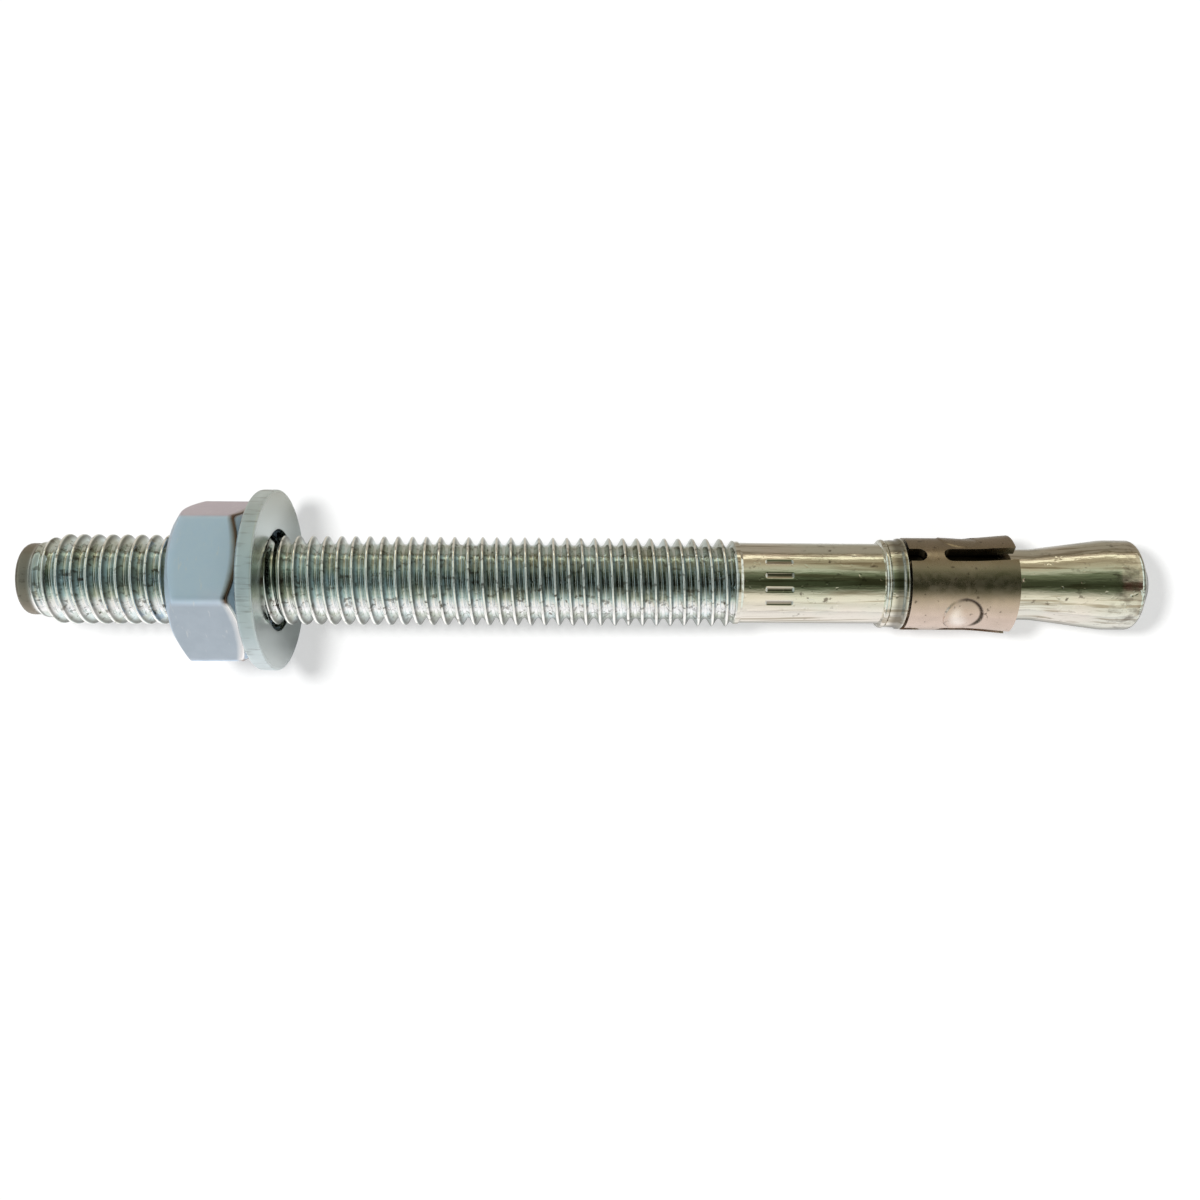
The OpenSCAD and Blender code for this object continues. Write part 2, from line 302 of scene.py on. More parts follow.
def makeStud(shape=stud):
    coarse = ringAngles(shape["columns"])
    fine = ringAngles(shape["shankColumns"])
    each = shape["shankColumns"] // shape["columns"]
    stubProfile = np.array([[1.6, 0.0]] + arc(shape["stubRadius"] - shape["stubRound"], shape["stubRound"],
                                              shape["stubRound"], -90, 0, 6)
                           + [[shape["stubRadius"], shape["threadStart"] - 0.2],
                              [shape["stubRadius"], shape["threadStart"]]])
    band = np.array([[shape["bandRadius"], shape["threadEnd"]], [shape["bandRadius"], shape["shankStart"] - 0.25],
                     [shape["bandRadius"] - 0.01, shape["shankStart"] - 0.17],
                     [shape["shankRadius"] + 0.02, shape["shankStart"] - 0.04]])
    shank = shankProfile()
    nose = noseProfile()
    points = []
    faces = []
    starts = []

    def addRings(profile, angles, closedStart=False, closedEnd=False):
        first = sum(len(block) for block in points)
        radius = profile[:, 0, None] * np.ones(len(angles))
        station = profile[:, 1, None] * np.ones(len(angles))
        angle = np.ones(len(profile))[:, None] * angles
        radius = radius - strokeDepthAt(angle, station)
        points.append(layOut(radius, angle, station).reshape(-1, 3))
        faces.extend(gridFaces(len(profile), len(angles), first).tolist())
        last = first + (len(profile) - 1) * len(angles)
        if closedStart:
            faces.append(list(range(first + len(angles) - 1, first - 1, -1)))
        if closedEnd:
            faces.append(list(range(last, last + len(angles))))
        starts.append((first, last))

    addRings(stubProfile, coarse, closedStart=True)
    threadPoints, threadQuads = threadGrid()
    faces.extend((threadQuads + len(points[0])).tolist())
    points.append(threadPoints)
    addRings(band, coarse)
    addRings(shank, fine)
    addRings(nose, coarse, closedEnd=True)
    bandLast, shankFirst, shankLast, noseFirst = starts[1][1], starts[2][0], starts[2][1], starts[3][0]
    for j in range(len(coarse)):  # one wide face joins a coarse edge to its three fine ones
        k = (j + 1) % len(coarse)
        fineEdge = [(j * each + step) % len(fine) for step in range(each + 1)]
        faces.append([bandLast + j, bandLast + k] + [shankFirst + f for f in reversed(fineEdge)])
        faces.append([shankLast + f for f in fineEdge] + [noseFirst + k, noseFirst + j])
    return makeMesh("stud", np.concatenate(points), faces, "bolt", "anchor_bolt", 50.0)


# Hexagon nut

nut = {
    "start": 13.7,
    "thickness": 6.5,
    "acrossFlats": 13.0,
    "cornerAngle": 14.0,
    "cornerRound": 0.45,
    "chamferRadius": 5.9,
    "chamferAngle": 34.0,
    "edgeRound": 0.1,
    "threadGap": 0.06,
    "boreRadius": 3.42,
    "sinkRadius": 4.5,
    "boreRows": 66,
    "cornerColumns": [0, 0.5, 1.1, 1.9, 3.2, 5.5, 9, 14, 19.5, 25],  # degrees from a corner
}


def hexRadius(angle, shape=nut):
    # Distance to the nearest of six flats along a direction, with the corners rounded
    apothem = shape["acrossFlats"] / 2
    corner = math.radians(shape["cornerAngle"])
    turn = (angle - corner) / (math.pi / 3)
    toCorner = (turn - np.round(turn)) * (math.pi / 3)
    one = apothem / np.cos(math.pi / 6 - np.abs(toCorner))
    other = apothem / np.cos(math.pi / 6 + np.abs(toCorner))
    return softMin(one, other, shape["cornerRound"])


def makeNut(shape=nut):
    # A closed ring of rows: out over one face, along the flats between the two chamfer curves, in over the
    # other face and back through the threaded bore
    half = np.radians(shape["cornerColumns"])
    sixth = np.concatenate([half, [math.pi / 6], math.pi / 3 - half[:0:-1]])
    angle = (math.radians(shape["cornerAngle"]) + np.arange(6)[:, None] * math.pi / 3 + sixth[None, :]).reshape(-1)
    flat = hexRadius(angle)
    slope = math.tan(math.radians(shape["chamferAngle"]))
    drop = (flat - shape["chamferRadius"]) * slope
    soft = shape["edgeRound"]
    thickness = shape["thickness"]
    sinkDepth = 0.48
    outside = []  # radius and distance from the face, a row at a time
    for radius in [shape["sinkRadius"], 5.0, 5.5, 5.75, shape["chamferRadius"] - 0.03]:
        outside.append((np.full_like(flat, radius), np.zeros_like(flat)))
    for share in [0.06, 0.5, 0.8]:
        outside.append((shape["chamferRadius"] + (flat - shape["chamferRadius"]) * share, drop * share))
    for turn in np.linspace(0, 1, 4):  # rounded meeting of chamfer and flat
        back = soft * (1 - turn) ** 2 * 0.8
        outside.append((flat - back, drop + soft * (1.3 * turn - 0.65) + 0.02))
    for share in [0.12, 0.3, 0.5]:
        outside.append((flat, drop + (thickness / 2 - drop) * share * 2))
    radius = np.array([row[0] for row in outside] + [row[0] for row in outside[-2::-1]])
    depth = np.array([row[1] for row in outside] + [thickness - row[1] for row in outside[-2::-1]])
    boreDepth = np.linspace(thickness, 0, shape["boreRows"])[1:-1]
    wall = threadRadius(angle[None, :], shape["start"] + boreDepth[:, None]) + shape["threadGap"]
    wall = np.maximum(wall, shape["boreRadius"])
    fromFace = np.minimum(boreDepth, thickness - boreDepth)[:, None]
    sink = shape["sinkRadius"] - fromFace * (shape["sinkRadius"] - 3.9) / sinkDepth
    wall = np.maximum(wall, sink)
    radius = np.concatenate([radius, wall])
    depth = np.concatenate([depth, boreDepth[:, None] * np.ones(len(angle))])
    points = layOut(radius, angle[None, :], shape["start"] + depth)
    faces = gridFaces(len(radius), len(angle), closeRows=True)
    return makeMesh("nut", points.reshape(-1, 3), faces.tolist(), "nut", "hex_nut", 35.0)


# Washer

washer = {
    "thickness": 1.45,
    "radius": 7.997,
    "holeRadius": 4.5,
    "punchRound": 0.3,
    "edge": 0.08,
    "columns": 144,
}


def makeWasher(shape=washer):
    # A closed profile carried round the washer's own level axis, which runs along X: rolled-over edge on the
    # nut's side, crisp edge on the other
    low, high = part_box("washer")
    middle = (np.array(low) + np.array(high)) / 2
    r, hole, edge, bend = shape["radius"], shape["holeRadius"], shape["edge"], shape["punchRound"]
    start = -shape["thickness"] / 2
    end = shape["thickness"] / 2
    profile = arc(hole + edge, start + edge, edge, 180, 270, 3)
    profile += [[hole + 0.5, start], [(hole + r) / 2, start], [r - bend - 0.3, start]]
    profile += arc(r - bend, start + bend, bend, -90, 0, 7)
    profile += [[r, start + bend + 0.2], [r, end - edge - 0.15]]
    profile += arc(r - edge, end - edge, edge, 0, 90, 3)
    profile += [[r - 0.35, end], [(hole + r) / 2, end], [hole + edge + 0.25, end]]
    profile += arc(hole + edge, end - edge, edge, 90, 180, 3)
    profile = np.array(profile)
    angle = ringAngles(shape["columns"])
    radius = profile[:, 0, None]
    points = np.stack([profile[:, 1, None] + 0 * angle, -radius * np.sin(angle), radius * np.cos(angle)], -1)
    points = middle + points / metre
    faces = gridFaces(len(profile), len(angle), closeRows=True)
    return makeMesh("washerRing", points.reshape(-1, 3), faces.tolist(), "washer", "washer", 60.0)


# Expansion clip

clip = {
    "start": 77.75,
    "length": 9.55,
    "insideRadius": 3.285,
    "sheet": 0.9,
    "mouthLength": 4.2,
    "mouthFlare": 0.3,
    "slotAngle": -38.0,
    "slotWidth": 1.4,
    "slotLength": 6.5,
    "notchLength": 1.5,
    "seamGap": 0.5,
    "seamSlot": 2,  # the slot that the seam runs into
    "padTurn": 82.0,
    "padStation": 4.8,
    "padDiameter": 3.5,
    "padTip": 7.5,
    "padEdge": 0.1,
    "columns": 72,
    "edgeBevel": 0.07,
}


def openHalfWidth(z, seam, shape=clip):
    # Half the width of the opening at a distance from the collar end: a notch with a round end, a bridge,
    # then a slot with a round end. The seam keeps its own gap everywhere.
    half = shape["slotWidth"] / 2
    notchCentre = shape["notchLength"] - half
    slotCentre = shape["length"] - shape["slotLength"] + half
    notch = np.sqrt(np.maximum(half ** 2 - np.maximum(z - notchCentre, 0) ** 2, 0))
    slot = np.sqrt(np.maximum(half ** 2 - np.maximum(slotCentre - z, 0) ** 2, 0))
    notch = np.where(z > shape["notchLength"] - 1e-9, 0, notch)
    slot = np.where(z < shape["length"] - shape["slotLength"] + 1e-9, 0, slot)
    return np.maximum(np.maximum(notch, slot), shape["seamGap"] / 2 if seam else 0)


def padRise(angle, z, padAngle, shape=clip):
    # Stamped round pad: its collar side stands proud and its mouth side is sunk, with a short soft step round it
    sideways = (shape["insideRadius"] + shape["sheet"]) * np.sin(angle - padAngle)
    lengthways = z - shape["padStation"]
    reach = shape["padDiameter"] / 2 - np.hypot(sideways, lengthways)
    inside = ease(reach / shape["padEdge"] + 0.3) * (np.cos(angle - padAngle) > 0)
    tip = math.tan(math.radians(shape["padTip"]))
    return inside * (-lengthways * tip + sideways * tip * 0.5)


def padShadeAndHighlight(angle, station, shape=clip):
    # Painted shade and highlight over the front pad: 1 in a thin crescent round its sunk side, and -1 on its raised
    # part
    sideways = (shape["insideRadius"] + shape["sheet"]) * np.sin(
        angle - math.radians(shape["slotAngle"] + shape["padTurn"]))
    lengthways = station - shape["start"] - shape["padStation"]
    size = np.hypot(sideways, lengthways)
    sunk = (lengthways * 0.9 - sideways * 0.45) / np.maximum(size, 0.01)
    ring = ease((size - 1.45) / 0.2) * ease((1.9 - size) / 0.15) * ease((sunk + 0.2) / 0.7)
    raised = ease((1.6 - size) / 0.9) * ease((0.5 - sunk * size) / 1.2)
    return (ring - raised) * (np.cos(angle - math.radians(shape["slotAngle"] + shape["padTurn"])) > 0)


def clipRows(shape=clip):
    # Distances from the collar end: close together at round slot ends and over the pad
    half = shape["slotWidth"] / 2
    curve = half * (1 - np.cos(np.linspace(0, math.pi / 2, 9)))
    slotTip = shape["length"] - shape["slotLength"]
    notchRows = shape["notchLength"] - curve
    slotRows = slotTip + curve
    rows = np.concatenate([[0.0, 0.25], notchRows, np.linspace(1.75, slotTip - 0.15, 8), slotRows,
                           np.arange(slotTip + half + 0.1, 6.9, 0.1), np.linspace(7.0, shape["length"], 11)])
    return np.unique(np.round(rows, 6))


def makeClip(shape=clip):
    # Three sectors between slot centre lines. Each is a sheet of outer and inner rows, with side walls only
    # where the slot, notch or seam is open; the bridges weld.
    z = clipRows()
    u = np.clip((z - shape["length"] + shape["mouthLength"]) / shape["mouthLength"], 0, None)
    bend = shape["mouthFlare"] * u * u * (2 - u)
    inner = shape["insideRadius"] + bend
    outer = inner + shape["sheet"]
    columns = shape["columns"]
    points = []
    faces = []
    for sector in range(3):
        left = math.radians(shape["slotAngle"] + 120 * sector)
        right = left + math.radians(120)
        openLeft = openHalfWidth(z, sector == shape["seamSlot"])
        openRight = openHalfWidth(z, (sector + 1) % 3 == shape["seamSlot"])
        share = np.linspace(0, 1, columns)[None, :]
        blocks = []
        for radius, isOuter in [(outer, True), (inner, False)]:
            a = left + np.arcsin(openLeft / radius)
            b = right - np.arcsin(openRight / radius)
            angle = a[:, None] + (b - a)[:, None] * share
            r = radius[:, None] * np.ones(columns)
            if isOuter:
                depth = 1.0 if sector == 0 else 0.4  # the pads out of sight are pressed less deep
                r = r + depth * padRise(angle, z[:, None], left + math.radians(shape["padTurn"]))
            blocks.append(layOut(r, angle, shape["start"] + z[:, None] * np.ones(columns)).reshape(-1, 3))
        first = sum(len(block) for block in points)
        size = len(z) * columns
        points += blocks
        outerFaces = gridFaces(len(z), columns, first, closeColumns=False)
        innerFaces = gridFaces(len(z), columns, first + size, closeColumns=False)[:, ::-1]
        i = np.arange(len(z) - 1)
        leftLow = first + i * columns
        rightLow = leftLow + columns - 1
        leftWall = np.stack([leftLow, leftLow + columns, leftLow + columns + size, leftLow + size], -1)
        rightWall = np.stack([rightLow, rightLow + size, rightLow + columns + size, rightLow + columns], -1)
        leftWall = leftWall[np.maximum(openLeft[1:], openLeft[:-1]) > 0]
        rightWall = rightWall[np.maximum(openRight[1:], openRight[:-1]) > 0]
        j = np.arange(columns - 1)
        low = first + j
        high = first + (len(z) - 1) * columns + j
        backRim = np.stack([low, low + size, low + size + 1, low + 1], -1)
        mouthRim = np.stack([high, high + 1, high + size + 1, high + size], -1)
        for block in (outerFaces, innerFaces, leftWall, rightWall, backRim, mouthRim):
            faces += block.tolist()
    piece = makeMesh("clipSheet", np.concatenate(points), faces, "clip", "expansion_clip", 40.0)
    bevel = piece.modifiers.new("edges", "BEVEL")
    bevel.width = shape["edgeBevel"] / metre
    bevel.segments = 2
    bevel.limit_method = "ANGLE"
    bevel.angle_limit = math.radians(45)
    bevel.harden_normals = True
    return piece


studPiece = makeStud()
nutPiece = makeNut()
washerPiece = makeWasher()
clipPiece = makeClip()


# Finishes

finish = {
    "studTint": (0.83, 0.79, 0.71),  # colours are linear; a pair of roughness values is the low and the high one
    "studGreen": (0.78, 0.79, 0.70),
    "threadTint": (0.56, 0.60, 0.53),
    "threadPale": (0.70, 0.80, 0.80),
    "flankShade": (0.13, 0.13, 0.11),
    "crestHighlight": (1.0, 1.0, 0.96),
    "topShade": (0.24, 0.26, 0.25),
    "frontHighlight": (1.0, 1.0, 1.0),
    "stubTint": (0.27, 0.24, 0.19),
    "dirtAndShade": (0.13, 0.10, 0.075),
    "streak": (0.42, 0.37, 0.28),
    # dark colour of the real specks on the thread, and of the painted shade under the clip's slot
    "grimeAndShade": (0.10, 0.085, 0.06),
    "studRough": (0.05, 0.14),
    "threadRough": 0.09,
    "stubRough": 0.42,
    "nutTint": (0.71, 0.84, 0.98),
    "nutLilac": (0.79, 0.84, 0.97),
    "nutRosy": (0.78, 0.71, 0.80),
    "nutLowerShade": (0.57, 0.63, 0.71),
    "nutRough": (0.54, 0.64),
    "edgeShade": (0.14, 0.09, 0.065),
    "grainAndEdgeHighlight": (0.95, 0.93, 0.92),
    "washerTint": (0.61, 0.67, 0.66),
    "washerRough": (0.10, 0.24),
    "rimTint": (0.75, 0.84, 0.86),
    "rimStreak": (0.30, 0.31, 0.30),
    "rimRough": 0.45,
    "clipShaded": (0.33, 0.275, 0.205),
    "clipLit": (0.70, 0.575, 0.49),
    "clipShade": (0.06, 0.045, 0.032),
    "padHighlight": (1.0, 0.93, 0.86),
    "clipRough": (0.22, 0.36),
}


def newMaterial(name):
    material = bpy.data.materials.new(name)
    material.use_nodes = True
    shader = material.node_tree.nodes["Principled BSDF"]
    shader.inputs["Metallic"].default_value = 1.0
    return material, material.node_tree.nodes, material.node_tree.links, shader


def noiseAt(nodes, links, scale, stretch=(1, 1, 1), detail=3.0, rough=0.55):
    # Noise on object coordinates turned to the bolt's axis, with a stretch along its three directions
    place = nodes.new("ShaderNodeTexCoord")
    mapping = nodes.new("ShaderNodeMapping")
    mapping.inputs["Rotation"].default_value = (0, -math.asin(along[2]) * -1, 0)
    mapping.inputs["Scale"].default_value = stretch
    noise = nodes.new("ShaderNodeTexNoise")
    noise.inputs["Scale"].default_value = scale
    noise.inputs["Detail"].default_value = detail
    noise.inputs["Roughness"].default_value = rough
    links.new(place.outputs["Object"], mapping.inputs["Vector"])
    links.new(mapping.outputs["Vector"], noise.inputs["Vector"])
    return noise.outputs["Fac"]


def spread(nodes, links, source, fromLow, fromHigh, toLow, toHigh):
    # A number range stretched to another
    node = nodes.new("ShaderNodeMapRange")
    links.new(source, node.inputs["Value"])
    node.inputs["From Min"].default_value = fromLow
    node.inputs["From Max"].default_value = fromHigh
    node.inputs["To Min"].default_value = toLow
    node.inputs["To Max"].default_value = toHigh
    return node.outputs["Result"]


def mixColour(nodes, links, share, low, high):
    node = nodes.new("ShaderNodeMix")
    node.data_type = "RGBA"
    links.new(share, node.inputs["Factor"])
    for socket, colour in ((node.inputs[6], low), (node.inputs[7], high)):
        if isinstance(colour, tuple):
            socket.default_value = (*colour, 1)
        else:
            links.new(colour, socket)
    return node.outputs[2]


def addBumps(nodes, links, shader, layers):
    # Bumps in a chain: each layer is a height source, its strength and its depth in metres
    normal = None
    for height, strength, depth in layers:
        bump = nodes.new("ShaderNodeBump")
        bump.inputs["Strength"].default_value = strength
        bump.inputs["Distance"].default_value = depth
        links.new(height, bump.inputs["Height"])
        if normal is not None:
            links.new(normal, bump.inputs["Normal"])
        normal = bump.outputs["Normal"]
    links.new(normal, shader.inputs["Normal"])


def attributeValue(nodes, name):
    node = nodes.new("ShaderNodeAttribute")
    node.attribute_name = name
    return node.outputs["Fac"]


def blend(nodes, links, share, low, high):
    # A number between two others, each a plain value or a socket
    node = nodes.new("ShaderNodeMix")
    links.new(share, node.inputs["Factor"])
    for socket, value in ((node.inputs[2], low), (node.inputs[3], high)):
        if isinstance(value, float):
            socket.default_value = value
        else:
            links.new(value, socket)
    return node.outputs[0]


def times(nodes, links, one, other):
    # Product of two numbers, the second a plain value or a socket
    node = nodes.new("ShaderNodeMath")
    node.operation = "MULTIPLY"
    links.new(one, node.inputs[0])
    if isinstance(other, float):
        node.inputs[1].default_value = other
    else:
        links.new(other, node.inputs[1])
    return node.outputs[0]


def threadTint(nodes, links):
    # Clouded valleys, painted shade along the top and a painted highlight along the front, painted highlights on
    # the crests and a dark line of painted shade on the flank towards the cone end
    fromCrest = attributeValue(nodes, "fromCrest")
    clouds = spread(nodes, links, noiseAt(nodes, links, 380, detail=4), 0.42, 0.6, 0, 1)
    tint = mixColour(nodes, links, clouds, finish["threadTint"], finish["threadPale"])
    shadeAndSheen = attributeValue(nodes, "shadeAndSheen")
    # Painted shade along the top of the thread and a painted highlight along its front
    tint = mixColour(nodes, links, spread(nodes, links, shadeAndSheen, 0, -1, 0, 0.7), tint, finish["topShade"])
    tint = mixColour(nodes, links, spread(nodes, links, shadeAndSheen, 0, 1, 0, 0.85), tint, finish["frontHighlight"])
    # Painted shade: a dark line on the flank towards the cone end
    outside = spread(nodes, links, fromCrest, 0.09, 0.14, 0, 1)
    inside = spread(nodes, links, fromCrest, 0.36, 0.20, 0, 1)
    side = spread(nodes, links, attributeValue(nodes, "flankSide"), -0.3, 0.4, 0.08, 0.8)
    flank = times(nodes, links, times(nodes, links, outside, inside), side)
    tint = mixColour(nodes, links, flank, tint, finish["flankShade"])
    # Painted highlight along the crests
    return mixColour(nodes, links, spread(nodes, links, fromCrest, 0.10, 0.06, 0, 1), tint, finish["crestHighlight"])


def studFinish():
    material, nodes, links, shader = newMaterial("zincBolt")
    threaded = attributeValue(nodes, "threaded")
    bare = attributeValue(nodes, "bare")
    drift = noiseAt(nodes, links, 170, detail=2)
    tint = mixColour(nodes, links, spread(nodes, links, drift, 0.4, 0.62, 0, 1),
                     finish["studTint"], finish["studGreen"])
    streaks = noiseAt(nodes, links, 2300, (0.025, 1, 1), detail=3)
    tint = mixColour(nodes, links, spread(nodes, links, streaks, 0.52, 0.64, 0, 0.9), tint, finish["streak"])
    tint = mixColour(nodes, links, threaded, tint, threadTint(nodes, links))
    # Painted shade on the neck under the clip's slot and on the collar
    tint = mixColour(nodes, links, attributeValue(nodes, "slotShade"), tint, finish["grimeAndShade"])
    tint = mixColour(nodes, links, bare, tint, finish["stubTint"])
    specks = noiseAt(nodes, links, 1900, (0.7, 1, 1), detail=3)
    patches = noiseAt(nodes, links, 330, detail=1)
    grimeAndShade = times(nodes, links, spread(nodes, links, specks, 0.60, 0.70, 0, 1),
                  spread(nodes, links, patches, 0.45, 0.66, 0.08, 0.9))
    tint = mixColour(nodes, links, grimeAndShade, tint, finish["dirtAndShade"])
    threadSpecks = times(nodes, links, spread(nodes, links, specks, 0.57, 0.66, 0, 0.55), threaded)
    tint = mixColour(nodes, links, threadSpecks, tint, finish["grimeAndShade"])
    # Painted shade in the strokes' troughs
    stroke = times(nodes, links, attributeValue(nodes, "stroke"), 0.65)
    tint = mixColour(nodes, links, stroke, tint, finish["dirtAndShade"])
    smears = noiseAt(nodes, links, 1300, (0.6, 1, 1), detail=5)
    smears = times(nodes, links, spread(nodes, links, smears, 0.48, 0.64, 0, 0.6), attributeValue(nodes, "land"))
    tint = mixColour(nodes, links, smears, tint, finish["dirtAndShade"])
    links.new(tint, shader.inputs["Base Color"])
    fine = noiseAt(nodes, links, 900, (0.25, 1, 1), detail=4)
    low, high = finish["studRough"]
    rough = spread(nodes, links, fine, 0.35, 0.7, low, high)
    rough = blend(nodes, links, threaded, rough, finish["threadRough"])
    links.new(blend(nodes, links, bare, rough, finish["stubRough"]), shader.inputs["Roughness"])
    wave = noiseAt(nodes, links, 420, (0.3, 1, 1), detail=2)
    ripple = noiseAt(nodes, links, 1500, (0.3, 1, 1), detail=3)
    scratch = noiseAt(nodes, links, 3400, (0.07, 1, 1), detail=2)
    pits = noiseAt(nodes, links, 1500, detail=1)
    pitShape = spread(nodes, links, pits, 0.68, 0.78, 0, -1)
    addBumps(nodes, links, shader, [(wave, 0.5, 3e-5), (ripple, 1.0, 1.9e-5), (scratch, 1.0, 1e-5),
                                    (pitShape, 0.6, 3e-5)])
    studPiece.data.materials.append(material)


def nutFinish():
    material, nodes, links, shader = newMaterial("zincNut")
    chamferEdge = attributeValue(nodes, "chamferEdge")
    drift = noiseAt(nodes, links, 130, detail=2)
    tint = mixColour(nodes, links, spread(nodes, links, drift, 0.45, 0.7, 0, 1),
                     finish["nutTint"], finish["nutLilac"])
    grain = noiseAt(nodes, links, 2400, (1, 0.3, 0.3), detail=3)
    tint = mixColour(nodes, links, attributeValue(nodes, "rosy"), tint, finish["nutRosy"])
    # Painted shade: a dimmer tint on the flats that face the front
    tint = mixColour(nodes, links, attributeValue(nodes, "lower"), tint, finish["nutLowerShade"])
    tint = mixColour(nodes, links, spread(nodes, links, grain, 0.62, 0.76, 0, 0.5), tint, finish["grainAndEdgeHighlight"])
    # Painted shade on the chamfer edge, and a painted highlight where it faces the front
    edge = mixColour(nodes, links, attributeValue(nodes, "lower"), finish["edgeShade"], finish["grainAndEdgeHighlight"])
    links.new(mixColour(nodes, links, chamferEdge, tint, edge), shader.inputs["Base Color"])
    fine = noiseAt(nodes, links, 1200, detail=5)
    low, high = finish["nutRough"]
    rough = spread(nodes, links, fine, 0.35, 0.7, low, high)
    links.new(blend(nodes, links, chamferEdge, rough, 0.12), shader.inputs["Roughness"])
    wave = noiseAt(nodes, links, 260, detail=2)
    addBumps(nodes, links, shader, [(wave, 0.4, 3e-5), (grain, 0.5, 1e-5)])
    nutPiece.data.materials.append(material)


def washerFinish():
    material, nodes, links, shader = newMaterial("zincWasher")
    rim = attributeValue(nodes, "rim")
    shiny = attributeValue(nodes, "shiny")
    drift = noiseAt(nodes, links, 240, (1, 0.4, 0.4), detail=3)
    rimTint = mixColour(nodes, links, spread(nodes, links, drift, 0.4, 0.6, 0, 1), finish["rimTint"],
                        tuple(0.8 * value for value in finish["rimTint"]))
    stripes = noiseAt(nodes, links, 3200, (0.1, 1, 1), detail=4)
    rimTint = mixColour(nodes, links, spread(nodes, links, stripes, 0.54, 0.68, 0, 0.6), rimTint, finish["rimStreak"])
    links.new(mixColour(nodes, links, rim, finish["washerTint"], rimTint), shader.inputs["Base Color"])
    low, high = finish["washerRough"]
    links.new(blend(nodes, links, rim, blend(nodes, links, shiny, high, low), finish["rimRough"]),
              shader.inputs["Roughness"])
    wave = noiseAt(nodes, links, 200, detail=2)
    addBumps(nodes, links, shader, [(wave, 0.3, 2e-5), (times(nodes, links, stripes, rim), 0.8, 5e-5)])
    washerPiece.data.materials.append(material)


def clipFinish():
    material, nodes, links, shader = newMaterial("clipSteel")
    # Painted light and shade: lighter towards the front and darker over the top and back, with some random tone
    drift = spread(nodes, links, noiseAt(nodes, links, 300, detail=3), 0.3, 0.7, -0.18, 0.18)
    frontLitShare = nodes.new("ShaderNodeMath")
    links.new(drift, frontLitShare.inputs[0])
    links.new(attributeValue(nodes, "frontLit"), frontLitShare.inputs[1])
    tint = mixColour(nodes, links, frontLitShare.outputs[0], finish["clipShaded"], finish["clipLit"])
    specks = noiseAt(nodes, links, 1700, detail=2)
    tint = mixColour(nodes, links, spread(nodes, links, specks, 0.66, 0.72, 0, 0.8), tint, finish["dirtAndShade"])
    shade = attributeValue(nodes, "padShadeAndHighlight")
    # Painted shade in the crescent round the pad and a painted highlight on its raised part
    tint = mixColour(nodes, links, spread(nodes, links, shade, 0, 1, 0, 0.95), tint, finish["clipShade"])
    tint = mixColour(nodes, links, spread(nodes, links, shade, 0, -1, 0, 0.9), tint, finish["padHighlight"])
    # Painted shade on the clip's inside and slot walls, except towards the front
    tint = mixColour(nodes, links, attributeValue(nodes, "cut"), tint, finish["clipShade"])
    links.new(tint, shader.inputs["Base Color"])
    fine = noiseAt(nodes, links, 1500, detail=5)
    low, high = finish["clipRough"]
    links.new(spread(nodes, links, fine, 0.35, 0.7, low, high), shader.inputs["Roughness"])
    scratch = noiseAt(nodes, links, 1300, (0.5, 1, 1), detail=4)
    wave = noiseAt(nodes, links, 380, detail=2)
    addBumps(nodes, links, shader, [(wave, 0.4, 3e-5), (scratch, 0.4, 1.5e-5)])
    clipPiece.data.materials.append(material)


def chamferEdgeMask(radius, angle, station, shape=nut):
    # 1 on the rounded meeting of flat and chamfer on the washer's side, 0 a little way off
    flat = hexRadius(angle)
    drop = (flat - shape["chamferRadius"]) * math.tan(math.radians(shape["chamferAngle"]))
    fromFace = shape["start"] + shape["thickness"] - station
    away = np.hypot(radius - flat, fromFace - drop)
    return 1 - ease((away - 0.09) / 0.08)


def onFlat(radius, angle):
    # 1 on the nut's flats and 0 on its faces
    return ease((radius - hexRadius(angle) + 0.3) / 0.2)


def washerPlace(points):
    # Distance from the washer's own level axis, in millimetres
    low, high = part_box("washer")
    middle = (np.array(low) + np.array(high)) / 2
    return np.hypot(points[:, 1] - middle[1], points[:, 2] - middle[2]) * metre


paint(studPiece, "bare", lambda points, radius, angle, station: 1 - ease((station - 1.1) / 0.5))
paint(studPiece, "threaded", lambda points, radius, angle, station: 1 - ease((station - 62.2) / 0.3))
paint(studPiece, "fromCrest", lambda points, radius, angle, station: np.abs(crestOffset(angle, station)))
paint(studPiece, "flankSide", lambda points, radius, angle, station:
      np.sin(2 * math.pi * crestOffset(angle, station) / stud["pitch"]))
paint(studPiece, "slotShade", lambda points, radius, angle, station: neckShade(angle, station))
paint(studPiece, "shadeAndSheen", lambda points, radius, angle, station: threadShadeAndSheen(angle, station))
paint(studPiece, "stroke", lambda points, radius, angle, station: strokeDepthAt(angle, station) / stud["strokeDepth"])
paint(studPiece, "land", lambda points, radius, angle, station: ease((station - 95.2) / 1.2)
      * ease((99.4 - station) / 0.5))
# The chamfer edge that takes the painted shade and highlight
paint(nutPiece, "chamferEdge", lambda points, radius, angle, station: chamferEdgeMask(radius, angle, station))
paint(nutPiece, "rosy", lambda points, radius, angle, station:
      ease((-0.78 - angle) / 0.06) * ease((angle + 1.85) / 0.06) * onFlat(radius, angle))
